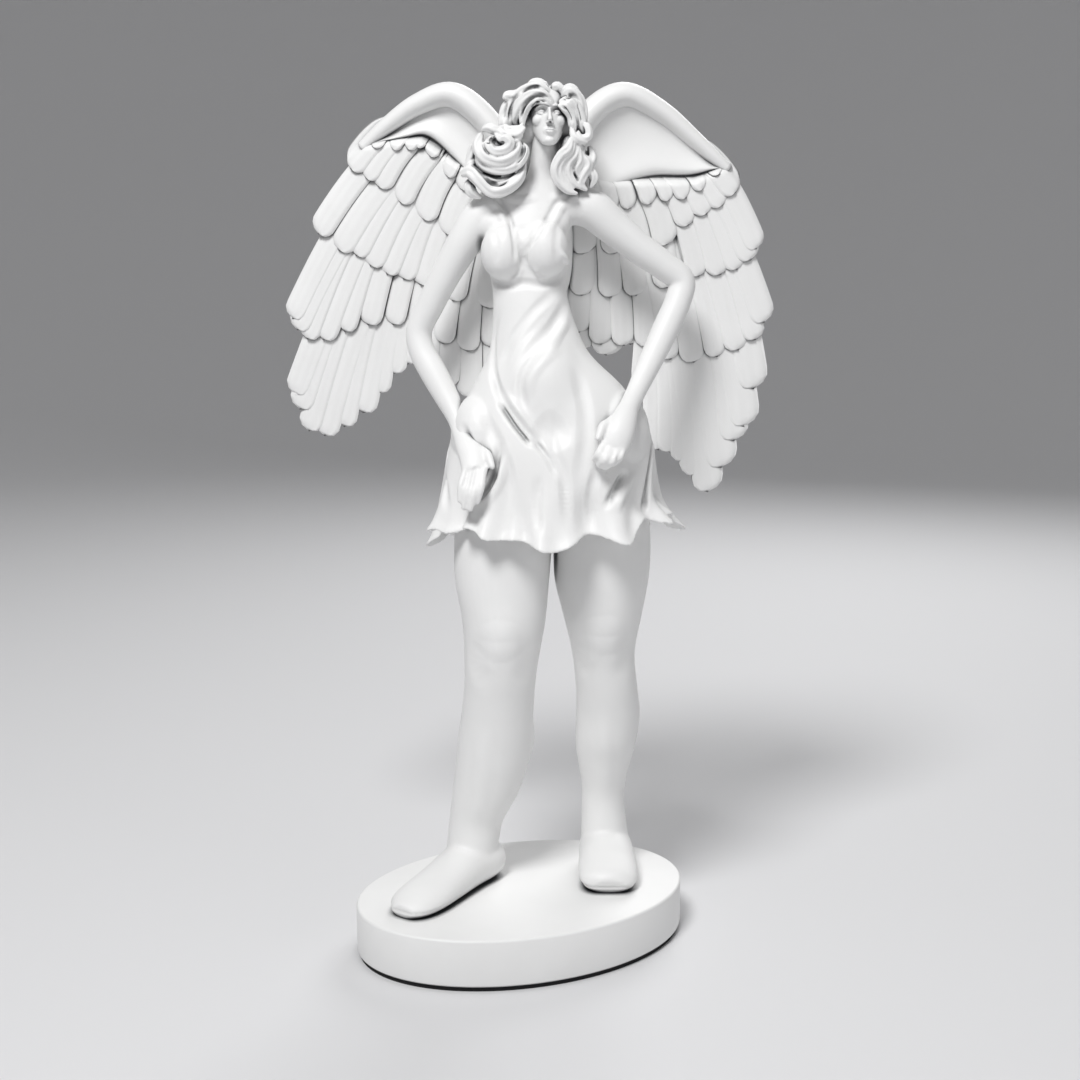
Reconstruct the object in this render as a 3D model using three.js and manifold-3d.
// A cast resin figurine of a winged woman standing on an oval plinth.
// The figurine is cast in sections that are pinned and glued: plinth, two legs with feet, the dressed body,
// two arms, the head, four hair castings and two wings. Straight steel rods run from the plinth through the
// legs into the body, and short steel dowels locate the head, the arms and the wings.
// Millimetres, +Z up. The figure faces -Y, and its right-hand side is at -X.
// The origin is at the middle of the plinth, on the surface that the figurine stands on. The figure's own
// heights are measured from the top of the plinth.

import * as THREE from "three";
import { mergeVertices } from "three/addons/utils/BufferGeometryUtils.js";
import Module from "manifold-3d";

const wasm = await Module();
wasm.setup();

// ---------- driving dimensions ----------

const gap = 0.3; // glue line between castings
const padGlue = 0.05;
const dowelClearance = 0.15;

const pad = { thick: 1.5, inset: 1.0 };
const plinth = { long: 120, short: 85, height: 16.5, turn: 24, edge: 0.8, sides: 28 };

const rod = { radius: 1.5, bedding: 12, bodyReach: 15, sides: 12 };
const dowel = { radius: 1.25, sides: 8 };

const skirt = { wall: 3.0, ceiling: 147, hem: 125, waves: 9, waveDepth: 1.5 };
const neckCut = 246;
const napeHeight = 258; // where the crown of hair meets the locks below it
const hairParting = 8; // how far back the side curls reach, where the back hair begins

const wingRoot = { x: 5.75, y: 22, sweep: 0.15, spacing: 6.5, top: 230, drop: 11 };
const wingPin = { front: 11, past: 2.4 }; // reach of a wing's dowels: from this y to this far past the root
const wingEdge = { thick: 5, taper: 0.3 }; // leading edge radius at the root, its loss per station

// ---------- solids ----------

// A closed three.js geometry as a solid that can be cut and joined.
function solid(geometry) {
  const bare = geometry.clone();
  bare.deleteAttribute("normal");
  bare.deleteAttribute("uv");
  const merged = mergeVertices(bare, 1e-4);
  return new wasm.Manifold(
    new wasm.Mesh({
      numProp: 3,
      vertProperties: merged.attributes.position.array,
      triVerts: new Uint32Array(merged.index.array),
    }),
  );
}

// The vertices and triangles of a solid as a three.js geometry.
function geometryOf(made) {
  const mesh = made.getMesh();
  const geometry = new THREE.BufferGeometry();
  geometry.setAttribute("position", new THREE.BufferAttribute(mesh.vertProperties, 3));
  geometry.setIndex(new THREE.BufferAttribute(mesh.triVerts, 1));
  geometry.computeVertexNormals();
  return geometry;
}

function join(solids) {
  return solids.reduce((whole, piece) => whole.add(piece));
}

function cut(whole, cutters) {
  return cutters.reduce((left, cutter) => left.subtract(cutter), whole);
}

// A smooth body along stations { at: [x, y, z], wide, deep }, made by bending a capped cylinder.
// upright keeps every section level; otherwise the sections stand square to the path.
// grow makes it larger all round, and reshape(point, share, angle) may move a vertex afterwards.
function loft(stations, { sides = 12, perStation = 1, upright = false, grow = 0, reshape } = {}) {
  const spans = stations.length - 1;
  const path = new THREE.CatmullRomCurve3(stations.map((s) => new THREE.Vector3(...s.at)));
  const widths = new THREE.CatmullRomCurve3(stations.map((s) => new THREE.Vector3(s.wide, s.deep, 0)));
  const geometry = new THREE.CylinderGeometry(1, 1, 1, sides, spans * perStation);
  const position = geometry.attributes.position;
  const point = new THREE.Vector3();
  for (let i = 0; i < position.count; i++) {
    point.fromBufferAttribute(position, i);
    const share = Math.min(1, Math.max(0, point.y + 0.5));
    const centre = path.getPoint(share);
    const size = widths.getPoint(share);
    const along = upright ? new THREE.Vector3(0, 0, 1) : path.getTangent(share);
    const forward = new THREE.Vector3(0, -1, 0);
    const side = new THREE.Vector3().crossVectors(along, forward).normalize();
    const front = new THREE.Vector3().crossVectors(side, along);
    const angle = Math.atan2(point.z, point.x);
    const wide = (size.x + grow) * point.x;
    const deep = (size.y + grow) * point.z;
    const end = share < 1e-4 ? -grow : share > 1 - 1e-4 ? grow : 0;
    point.copy(centre).addScaledVector(side, wide).addScaledVector(front, deep).addScaledVector(along, end);
    if (reshape) reshape(point, share, angle);
    position.setXYZ(i, point.x, point.y, point.z);
  }
  return solid(geometry);
}

function ball([x, y, z], [wide, deep, tall], { sides = 16, rings = 10, grow = 0 } = {}) {
  const geometry = new THREE.SphereGeometry(1, sides, rings);
  geometry.rotateX(Math.PI / 2);
  geometry.scale(wide + grow, deep + grow, tall + grow);
  geometry.translate(x, y, z);
  return solid(geometry);
}

// A straight round bar between two points.
function bar(from, to, radius, sides) {
  const start = new THREE.Vector3(...from);
  const end = new THREE.Vector3(...to);
  const geometry = new THREE.CylinderGeometry(radius, radius, start.distanceTo(end), sides);
  const direction = end.clone().sub(start).normalize();
  const turn = new THREE.Quaternion().setFromUnitVectors(new THREE.Vector3(0, 1, 0), direction);
  geometry.applyQuaternion(turn);
  geometry.translate(...start.add(end).multiplyScalar(0.5).toArray());
  return solid(geometry);
}

function block([x0, y0, z0], [x1, y1, z1]) {
  const geometry = new THREE.BoxGeometry(x1 - x0, y1 - y0, z1 - z0);
  geometry.translate((x0 + x1) / 2, (y0 + y1) / 2, (z0 + z1) / 2);
  return solid(geometry);
}

// The point at a share of the way between two points, which may lie beyond them.
function between(from, to, share) {
  return from.map((value, i) => value + (to[i] - value) * share);
}

// A bar in its hole: the steel itself, or the hole that it sits in.
function steel(pin, clearance = 0) {
  const length = Math.hypot(...pin.to.map((value, i) => value - pin.from[i]));
  const extra = clearance / length;
  const start = between(pin.from, pin.to, -extra);
  const end = between(pin.from, pin.to, 1 + extra);
  return bar(start, end, pin.radius + clearance, pin.sides);
}

// ---------- plinth and pad ----------

function oval(long, short, from, to, edge = 0) {
  const outline = new THREE.Shape();
  outline.absellipse(0, 0, long / 2 - edge, short / 2 - edge, 0, 2 * Math.PI, false, 0);
  const geometry = new THREE.ExtrudeGeometry(outline, {
    depth: to - from - 2 * edge,
    curveSegments: plinth.sides,
    bevelEnabled: edge > 0,
    bevelThickness: edge,
    bevelSize: edge,
    bevelSegments: 1,
  });
  geometry.translate(0, 0, from + edge);
  geometry.rotateZ(THREE.MathUtils.degToRad(plinth.turn));
  return solid(geometry);
}

// ---------- legs ----------

const station = (at, wide, deep = wide) => ({ at, wide, deep });

// The right leg steps forward with its foot turned out. The left leg carries the weight.
const legs = {
  right: {
    leg: [
      station([-18.6, 8, 4], 8.8, 9.5),
      station([-18.4, 8.5, 9], 9.2, 10),
      station([-17.6, 9, 15], 9.4, 9.8),
      station([-16.4, 9, 22], 9.8, 9.8),
      station([-13.2, 8, 32], 11.8, 11.3),
      station([-10.8, 7, 43], 12.9, 12.6),
      station([-9.6, 6, 52], 13.2, 13.2),
      station([-8.1, 2.5, 68], 12.5, 12.8),
      station([-7.1, 0, 81], 12.7, 13.3),
      station([-6.1, 0, 97], 14.4, 15),
      station([-6.7, 2, 111], 16.3, 16.5),
      station([-6.5, 3, 121], 16.8, 17),
      station([-6.3, 4, 132], 16.6, 17),
      station([-6, 5, skirt.ceiling + 4], 16, 17),
    ],
    heel: [-13.2, 14],
    toe: [-40.5, -28],
    foot: { wide: 9.2, heelTall: 13, toeTall: 4.6 },
    rod: { from: [-19.6, 8], to: [-5.2, 4.5] },
  },
  left: {
    leg: [
      station([30.3, 18, 4], 8.6, 9.5),
      station([30.3, 19, 9], 8.8, 9.6),
      station([30, 20.5, 16], 8.4, 9),
      station([29.5, 21, 25], 7.8, 8.6),
      station([29.6, 20.5, 32], 8, 9),
      station([29.9, 19, 43], 10.1, 11.2),
      station([30.4, 17.5, 50], 11.1, 12.4),
      station([30.9, 15.5, 60], 11.5, 12.6),
      station([30.2, 12, 70], 11, 12),
      station([28.8, 9, 84], 11.1, 12.5),
      station([28.3, 8, 98], 13.9, 15),
      station([27.9, 8, 110], 16.4, 17),
      station([28, 8, 121], 17, 17.4),
      station([27.4, 8, 132], 16.8, 17.2),
      station([26, 8, skirt.ceiling + 4], 16, 17),
    ],
    heel: [30.6, 27],
    toe: [30.6, -7],
    foot: { wide: 10.4, heelTall: 13, toeTall: 5.4 },
    rod: { from: [30.4, 18], to: [28.4, 10.5] },
  },
};

for (const side of Object.values(legs)) {
  const { from, to } = side.rod;
  side.rod = { ...rod, from: [...from, -rod.bedding], to: [...to, skirt.ceiling + rod.bodyReach] };
}

// A smooth slipper-shaped foot from heel to toe, flat where it rests on the plinth.
function foot({ heel, toe, foot: shape }) {
  const at = (share, tall) => [...between(heel, toe, share), gap + tall * 0.45];
  const taper = (shape.heelTall - shape.toeTall) / shape.heelTall;
  const tallAt = (share) => shape.heelTall * (1 - taper * share);
  const shares = [
    [-0.07, 0.25],
    [0, 0.72],
    [0.16, 0.92],
    [0.4, 0.9],
    [0.68, 1],
    [0.88, 0.9],
    [0.97, 0.62],
    [1.01, 0.2],
  ];
  const stations = shares.map(([share, full]) => {
    const tall = tallAt(share);
    return { at: at(share, tall), wide: shape.wide * full, deep: tall * Math.sqrt(full) };
  });
  return loft(stations, { sides: 12 });
}

function leg(name) {
  const side = legs[name];
  const limb = loft(side.leg, { sides: 14, upright: true });
  const ground = block([-100, -100, -100], [100, 100, gap]);
  return cut(limb.add(foot(side)), [ground, dress(gap), steel(side.rod, dowelClearance)]);
}

// ---------- dressed body ----------

// From the waist down the stations are the skirt, whose hem swings out in waves.
const bodyStations = [
  station([11, 6, skirt.hem], 41, 29.5),
  station([10.6, 6, 132], 38.8, 27),
  station([10, 6, 141], 36.9, 25.5),
  station([10.2, 6, 152], 35.6, 24.5),
  station([10.6, 6, 161], 34.2, 23),
  station([9.2, 6, 169], 29.8, 20.5),
  station([7.8, 6, 178], 24.5, 17.5),
  station([6.4, 6, 188], 17.8, 13.6),
  station([4.6, 6, 197], 14.5, 11.2),
  station([3.4, 6, 207], 12.7, 9.8),
  station([2.4, 6.3, 217], 13.2, 10),
  station([1.4, 7, 225], 14.2, 10.2),
  station([2.6, 8, 233], 16, 9.6),
  station([5.2, 8.5, 239], 16.6, 8),
  station([6.6, 8, 243], 10.5, 6.6),
  station([7.2, 7.5, 246], 6.2, 5.6),
  station([7.5, 7, 249], 5.2, 5.2),
];
const bust = [
  { at: [-5.4, 0.6, 225.2], size: [7.2, 6.6, 6.6] },
  { at: [8.3, 0.4, 226], size: [7.4, 6.8, 6.8] },
];

const waveFrom = 0.32; // share of the body's stations over which the waves fade out
const waistShare = (share) => Math.max(0, 1 - share / waveFrom);

function ripple(point, share, angle) {
  const strength = waistShare(share) ** 1.5 * skirt.waveDepth;
  const wave = Math.cos(skirt.waves * angle + 0.6) * strength;
  point.x += Math.cos(angle) * wave;
  point.y -= Math.sin(angle) * wave;
}

// The dress and the chest in one casting, with the skirt open underneath for the legs.
function dress(grow = 0) {
  const outside = loft(bodyStations, { sides: 28, upright: true, grow, reshape: ripple });
  const breasts = bust.map(({ at, size }) => ball(at, size, { sides: 12, rings: 8, grow }));
  const cavity = bodyStations.slice(0, 4).map(({ at, wide, deep }) => ({
    at,
    wide: wide - skirt.wall - grow,
    deep: deep - skirt.wall - grow,
  }));
  cavity[0].at = [11, 6, skirt.hem - 1];
  const above = block([-100, -100, skirt.ceiling - grow], [100, 100, 300]);
  const hollow = loft(cavity, { sides: 28, upright: true, reshape: ripple }).subtract(above);
  const neck = block([-100, -100, neckCut + grow], [100, 100, 300]);
  return cut(join([outside, ...breasts]), [hollow, neck]);
}

// ---------- arms ----------

const arms = {
  right: {
    upper: [
      station([-7.5, 8, 236.5], 6.5, 6),
      station([-13.2, 8, 234.6], 6.6, 6),
      station([-19, 8.5, 226.5], 5.9, 5.6),
      station([-25.5, 10, 215.5], 5.2, 5.2),
      station([-31.5, 11.5, 204.5], 4.9, 4.8),
      station([-35.2, 12, 196.5], 4.7, 4.7),
      station([-33.8, 10.5, 190], 4.6, 4.6),
      station([-29.5, 8, 182], 4.5, 4.5),
      station([-25, 4.5, 174], 4, 4.1),
      station([-21.4, 0, 167], 3.4, 3.6),
      station([-18.6, -6, 161.5], 3.6, 2.9),
    ],
    hand: [
      station([-20.8, -3.5, 165.5], 3.5, 2.8),
      station([-18, -12, 160], 4.6, 2.6),
      station([-16.2, -16.5, 154], 4.6, 2.3),
      station([-17, -20, 147], 3.8, 1.8),
      station([-18.5, -21, 141.5], 2.4, 1.3),
    ],
    dowel: { from: [-3.5, 8, 235.8], to: [-14.5, 8.1, 232.8] },
  },
  left: {
    upper: [
      station([17.5, 8, 238], 6.6, 6.2),
      station([23.8, 8, 236.6], 6.8, 6.2),
      station([31, 9, 230.8], 6, 5.8),
      station([40, 10.5, 223.8], 5.4, 5.4),
      station([48.5, 12, 218], 5, 5),
      station([54.6, 12.5, 213], 4.8, 4.8),
      station([53, 11, 206], 4.7, 4.7),
      station([48.8, 8, 196.5], 4.5, 4.5),
      station([43.6, 3, 186], 4.1, 4.1),
      station([38.2, -4, 176.4], 3.5, 3.6),
      station([35.2, -10, 171], 3.8, 3.2),
    ],
    hand: [
      station([37, -7, 173.5], 3.6, 3.2),
      station([34.2, -15, 168], 5, 3.8),
      station([31.8, -18.5, 161.5], 5, 4),
      station([29.4, -19, 156], 3.8, 3.2),
      station([28.4, -18.5, 153], 1.8, 1.6),
    ],
    dowel: { from: [12.5, 8, 236.6], to: [24, 8.1, 235.6] },
  },
};

for (const arm of Object.values(arms)) Object.assign(arm.dowel, dowel);

const armShape = ({ upper, hand }, grow = 0) => loft(upper, { grow }).add(loft(hand, { grow }));

function arm(name) {
  return cut(armShape(arms[name]), [dress(gap), steel(arms[name].dowel, dowelClearance)]);
}

// ---------- head and hair ----------

const skull = { at: [9, 2.2, 265.6], size: [6.6, 8.2, 9] };
const jaw = { at: [9.2, -0.4, 260.2], size: [4.9, 5.8, 5.6] };
const neckDowel = { from: [7.4, 7.2, 237], to: [8.2, 5.6, 258], ...dowel };

function head(grow = 0) {
  const neck = loft(
    [
      station([7.2, 7.5, neckCut + gap], 5.4, 5.3),
      station([7.8, 6.2, 251], 4.6, 4.8),
      station([8.6, 4.6, 257], 4.8, 5.2),
      station([8.9, 4, 263], 4.8, 5.2),
    ],
    { sides: 14, upright: true, grow },
  );
  const bridge = station([9.2, -6.4, 265], 0.8);
  const nose = loft([bridge, station([9.3, -7.2, 261.4], 1.2)], { sides: 8, grow });
  const bones = [skull, jaw].map(({ at, size }) => ball(at, size, { grow, sides: 16, rings: 10 }));
  return join([neck, nose, ...bones]);
}

// The crown of hair, open in front for the face.
const crownMass = (grow = 0) => ball([7.8, 4.6, 266.6], [12.2, 11.2, 11.4], { grow });

function hairCrown() {
  const mass = join([
    crownMass(),
    ball([-1.2, 1.5, 266.5], [5.2, 5, 7], { sides: 10, rings: 7 }),
    ball([17.4, 2.2, 266], [4.2, 4.6, 8], { sides: 10, rings: 7 }),
  ]);
  const face = ball([9.2, -8.6, 261.8], [6.4, 9.4, 9.4], { sides: 12, rings: 8 });
  const below = block([-100, -100, 0], [100, 100, napeHeight]);
  return cut(mass, [head(gap), face, below]);
}

// Long locks down the nape, which lie on the shoulders.
function backLocks(grow = 0) {
  const locks = [-3, 4, 11, 17.5].map((x, i) =>
    loft(
      [
        station([x * 0.6 + 3.4, 10, napeHeight + 2], 4.4, 3.4),
        station([x, 13.5, 250], 4.8, 3.8),
        station([x - 0.6, 17.5, 242], 4.2, 3.2),
        station([x + 0.8, 20, 237 - (i % 2) * 3], 2.2, 1.6),
      ],
      { sides: 8, grow },
    ),
  );
  return join(locks);
}

function hairBack() {
  const above = block([-100, -100, napeHeight - gap], [100, 100, 330]);
  const ahead = block([-100, -100, 0], [100, hairParting + gap / 2, 330]);
  const sides = Object.values(arms).map((side) => armShape(side, gap));
  return cut(backLocks(), [head(gap), dress(gap), above, ahead, ...sides]);
}

const curls = {
  right: [
    { at: [-5.6, -1, 252.6], size: [7.6, 6.4, 8.6] },
    { at: [-12.4, 2.5, 248.4], size: [6.2, 5.4, 5] },
    { at: [-3.2, -1.5, 245.8], size: [6.2, 5.2, 5] },
  ],
  left: [
    { at: [19, 3.6, 252.8], size: [4.4, 5, 5] },
    { at: [20.4, 4.6, 246.6], size: [3.8, 4.4, 4.4] },
    { at: [14.6, 1.6, 250.4], size: [2.8, 3.2, 7.4] },
  ],
};

function hairCurls(name) {
  const mass = join(curls[name].map(({ at, size }) => ball(at, size, { sides: 12, rings: 8 })));
  const above = block([-100, -100, napeHeight - gap], [100, 100, 330]);
  const behind = block([-100, hairParting - gap / 2, 0], [100, 100, 330]);
  return cut(mass, [head(gap), dress(gap), above, behind, armShape(arms[name], gap)]);
}

// ---------- wings ----------

// Each row of feathers hangs from the ridge and lies behind the shorter row above it. The ridge and the
// tips of each row are curves, in x outwards from the wings' middle and z.
const wings = {
  right: {
    way: -1,
    ridge: [[4, 232], [7, 248], [13, 265], [21, 277], [30, 282], [42, 279], [53, 271.5], [61, 264]],
    rows: [
      {
        thick: 3.4,
        count: 10,
        tips: [[12, 175], [23, 172], [40, 182], [56, 170], [70, 159], [81, 157], [89, 172]],
      },
      {
        thick: 4.4,
        count: 9,
        tips: [[12, 202], [28, 202], [46, 200], [64, 198], [78, 193], [89, 198]],
      },
      {
        thick: 5.4,
        count: 9,
        tips: [[12, 218], [26, 215], [42, 211], [57, 216], [71, 223], [81, 231]],
      },
      {
        thick: 6.4,
        count: 8,
        tips: [[12, 233], [26, 231], [40, 233], [54, 243], [63, 249], [70, 256]],
      },
    ],
  },
  left: {
    way: 1,
    ridge: [[4, 232], [7, 249], [13, 269], [21, 279.5], [30, 282], [42, 276.5], [54, 267.5], [66, 257.5]],
    rows: [
      {
        thick: 3.4,
        count: 10,
        tips: [[12, 190], [28, 188], [43, 155], [53, 150], [63, 138], [74, 156], [80, 178]],
      },
      {
        thick: 4.4,
        count: 9,
        tips: [[12, 204], [28, 204], [46, 200], [60, 196], [74, 193], [82, 199]],
      },
      {
        thick: 5.4,
        count: 9,
        tips: [[12, 218], [28, 220], [44, 216], [57, 214], [68, 216], [78, 223]],
      },
      {
        thick: 6.4,
        count: 8,
        tips: [[12, 234], [28, 236], [43, 226], [56, 233], [65, 240], [72, 248]],
      },
    ],
  },
};

const curveThrough = (points) => new THREE.SplineCurve(points.map(([x, z]) => new THREE.Vector2(x, z)));

// A wing is laid out flat, from its root outwards, then swept back about its root.
function hang(geometry, way) {
  geometry.rotateZ(way * wingRoot.sweep);
  geometry.translate(wingRoot.x, wingRoot.y, 0);
  return solid(geometry);
}

// The outline of a row of feathers, with a rounded tip for each feather along its lower edge.
function rowOutline({ thick, count, tips }, ridge) {
  const roots = ridge.getPoints(8).map((point) => point.setY(point.y - thick));
  const tipCurve = curveThrough(tips);
  const wide = tipCurve.getLength() / count;
  const edge = Array.from({ length: count }, (_, i) => {
    const share = (i + 0.5) / count;
    const tip = tipCurve.getPointAt(share);
    const along = tip.clone().sub(ridge.getPointAt(share)).normalize();
    const across = new THREE.Vector2(-along.y, along.x);
    const rounding = [
      [-0.46, 0.5],
      [-0.34, 0.16],
      [0, 0],
      [0.34, 0.16],
      [0.46, 0.5],
    ];
    return rounding.map(([aside, short]) =>
      tip.clone().addScaledVector(across, aside * wide).addScaledVector(along, -short * wide),
    );
  });
  return [...roots.reverse(), ...edge.flat()];
}

const wingDowels = (name) =>
  [0, 1].map((i) => {
    const x = wingRoot.x + wings[name].way * wingRoot.spacing;
    const z = wingRoot.top - i * wingRoot.drop;
    return { from: [x, wingPin.front, z], to: [x, wingRoot.y + wingPin.past, z], ...dowel };
  });

function wing(name) {
  const side = wings[name];
  const ridge = curveThrough(side.ridge);
  const plates = side.rows.map((row) => {
    const outline = rowOutline(row, ridge).map(({ x, y }) => new THREE.Vector2(side.way * x, y));
    const shape = new THREE.Shape(outline);
    const plate = new THREE.ExtrudeGeometry(shape, { depth: row.thick, bevelEnabled: false });
    plate.translate(0, 0, -row.thick / 2);
    plate.rotateX(Math.PI / 2);
    return hang(plate, side.way);
  });
  const lead = side.ridge.map(([x, z], i) => {
    const thick = wingEdge.thick - i * wingEdge.taper;
    const out = wingRoot.x + side.way * x * Math.cos(wingRoot.sweep);
    return station([out, wingRoot.y + x * Math.sin(wingRoot.sweep), z - thick], thick);
  });
  const root = side.way * wingRoot.spacing + wingRoot.x;
  const boss = loft(
    [
      station([root, wingRoot.y + 0.5, wingRoot.top - wingRoot.drop - 7], 4.6, 5),
      station([root, wingRoot.y - 2, wingRoot.top - wingRoot.drop], 5.4, 8),
      station([root, wingRoot.y - 2, wingRoot.top], 5.2, 8),
      station([root, wingRoot.y + 1, wingRoot.top + 8], 4.2, 5),
    ],
    { upright: true },
  );
  const whole = join([boss, loft(lead, { sides: 10 }), ...plates]);
  const middle = wingRoot.x + (side.way * gap) / 2;
  const other = middle - side.way * 100;
  const spine = block([Math.min(middle, other), -100, 0], [Math.max(middle, other), 100, 400]);
  const pins = wingDowels(name).map((pin) => steel(pin, dowelClearance));
  return cut(whole, [dress(gap), backLocks(gap), crownMass(gap), spine, ...pins]);
}

// ---------- assembly ----------

const resin = new THREE.MeshStandardMaterial({ color: 0xf1f0ee, roughness: 0.42, metalness: 0 });
const foam = new THREE.MeshStandardMaterial({ color: 0x0c0c0d, roughness: 0.95, metalness: 0 });
const rodSteel = new THREE.MeshStandardMaterial({ color: 0x8d9094, roughness: 0.4, metalness: 1 });

const figurine = new THREE.Group();

function add(name, made, material) {
  const mesh = new THREE.Mesh(geometryOf(made), material);
  mesh.name = name;
  figurine.add(mesh);
}

figurine.position.z = pad.thick + plinth.height;
const padSize = [plinth.long - 2 * pad.inset, plinth.short - 2 * pad.inset];
const bodyPins = [
  legs.right.rod,
  legs.left.rod,
  arms.right.dowel,
  arms.left.dowel,
  neckDowel,
  ...wingDowels("right"),
  ...wingDowels("left"),
];
const rodHoles = [legs.right.rod, legs.left.rod].map((pin) => steel(pin, dowelClearance));
const plinthBlock = oval(plinth.long, plinth.short, -plinth.height + padGlue, 0, plinth.edge);

add("base_pad", oval(...padSize, -plinth.height - pad.thick, -plinth.height), foam);
add("plinth", plinthBlock.subtract(join(rodHoles)), resin);
add("dressed_body", dress().subtract(join(bodyPins.map((pin) => steel(pin, dowelClearance)))), resin);
add("head", head().subtract(steel(neckDowel, dowelClearance)), resin);
add("neck_dowel", steel(neckDowel), rodSteel);
add("hair_crown", hairCrown(), resin);
add("hair_back", hairBack(), resin);
for (const name of ["right", "left"]) {
  add(`${name}_leg`, leg(name), resin);
  add(`${name}_leg_rod`, steel(legs[name].rod), rodSteel);
  add(`${name}_arm`, arm(name), resin);
  add(`${name}_arm_dowel`, steel(arms[name].dowel), rodSteel);
  add(`${name}_hair_curls`, hairCurls(name), resin);
  add(`${name}_wing`, wing(name), resin);
  wingDowels(name).forEach((pin, i) => add(`${name}_wing_dowel_${i + 1}`, steel(pin), rodSteel));
}

export default figurine;
